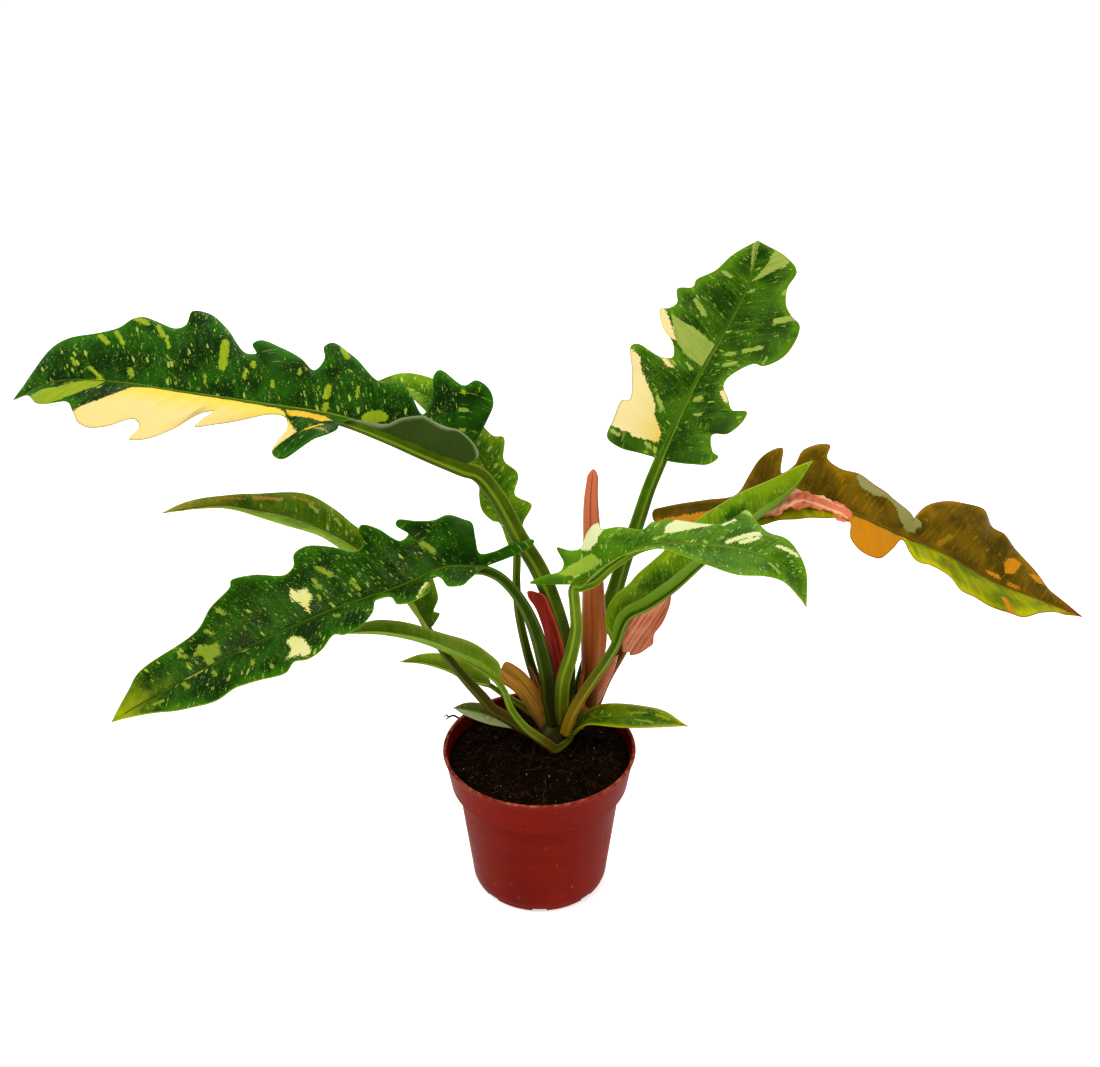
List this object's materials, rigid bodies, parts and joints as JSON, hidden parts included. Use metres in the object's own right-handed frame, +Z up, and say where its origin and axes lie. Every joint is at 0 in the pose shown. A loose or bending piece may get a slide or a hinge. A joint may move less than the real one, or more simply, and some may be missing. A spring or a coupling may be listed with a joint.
{
  "type": "potted philodendron",
  "caption": "Lobed, cream-splashed philodendron with long arching leaves on channelled stalks, growing in a round terracotta-coloured plastic nursery pot.",
  "frame": {"origin": "centre of the flat disc under the pot, on the surface that the pot stands on", "axes": "+Z up the pot's axis; +X along the spread of the two longest leaves, towards the bronze leaf; +Y towards the upright leaf's side"},
  "size_m": [0.6383, 0.2214, 0.3802],
  "materials": {
    "terracotta_plastic": "injection-moulded terracotta-coloured plastic, soft sheen",
    "peat_mix": "dark fibrous peat and bark mix",
    "stem_green": "smooth waxy green stalk with paler edges",
    "stem_bronze": "waxy green stalk flushed red and bronze",
    "leaf_dark": "glossy dark green leaf with lime flecks and cream sectors",
    "leaf_bright": "satin mid green leaf with pale flecks and margins",
    "leaf_pale": "pale whitish-green waxy leaf",
    "leaf_bronze": "young olive-bronze leaf with orange and yellow-green areas",
    "rolled_leaf": "pink to orange-brown rolled leaf",
    "sheath_red": "thin red leathery sheath",
    "sheath_tan": "drying orange-tan sheath",
    "sheath_pink": "thin pink sheath"
  },
  "bodies": {
    "root": {"pot": "terracotta_plastic", "potting_mix": "peat_mix", "crown": "stem_green", "leaf_far_left": "leaf_dark", "leaf_left": "leaf_dark", "leaf_upright": "leaf_dark", "leaf_front": "leaf_bright", "leaf_lance": "leaf_bright", "leaf_back": "leaf_bright", "leaf_slender": "leaf_bright", "leaf_arched": "leaf_bright", "leaf_small_left": "leaf_bright", "leaf_low_right": "leaf_bright", "leaf_pale_low": "leaf_pale", "leaf_bronze": "leaf_bronze", "stalk_far_left": "stem_green", "stalk_left": "stem_green", "stalk_upright": "stem_green", "stalk_front": "stem_green", "stalk_lance": "stem_green", "stalk_back": "stem_green", "stalk_slender": "stem_green", "stalk_arched": "stem_green", "stalk_small_left": "stem_green", "stalk_low_right": "stem_green", "stalk_pale_low": "stem_green", "stalk_bronze": "stem_bronze", "new_leaf_roll": "rolled_leaf", "sheath_red": "sheath_red", "sheath_tan": "sheath_tan", "sheath_pink": "sheath_pink", "sheath_base": "sheath_pink"}
  },
  "joints": []
}
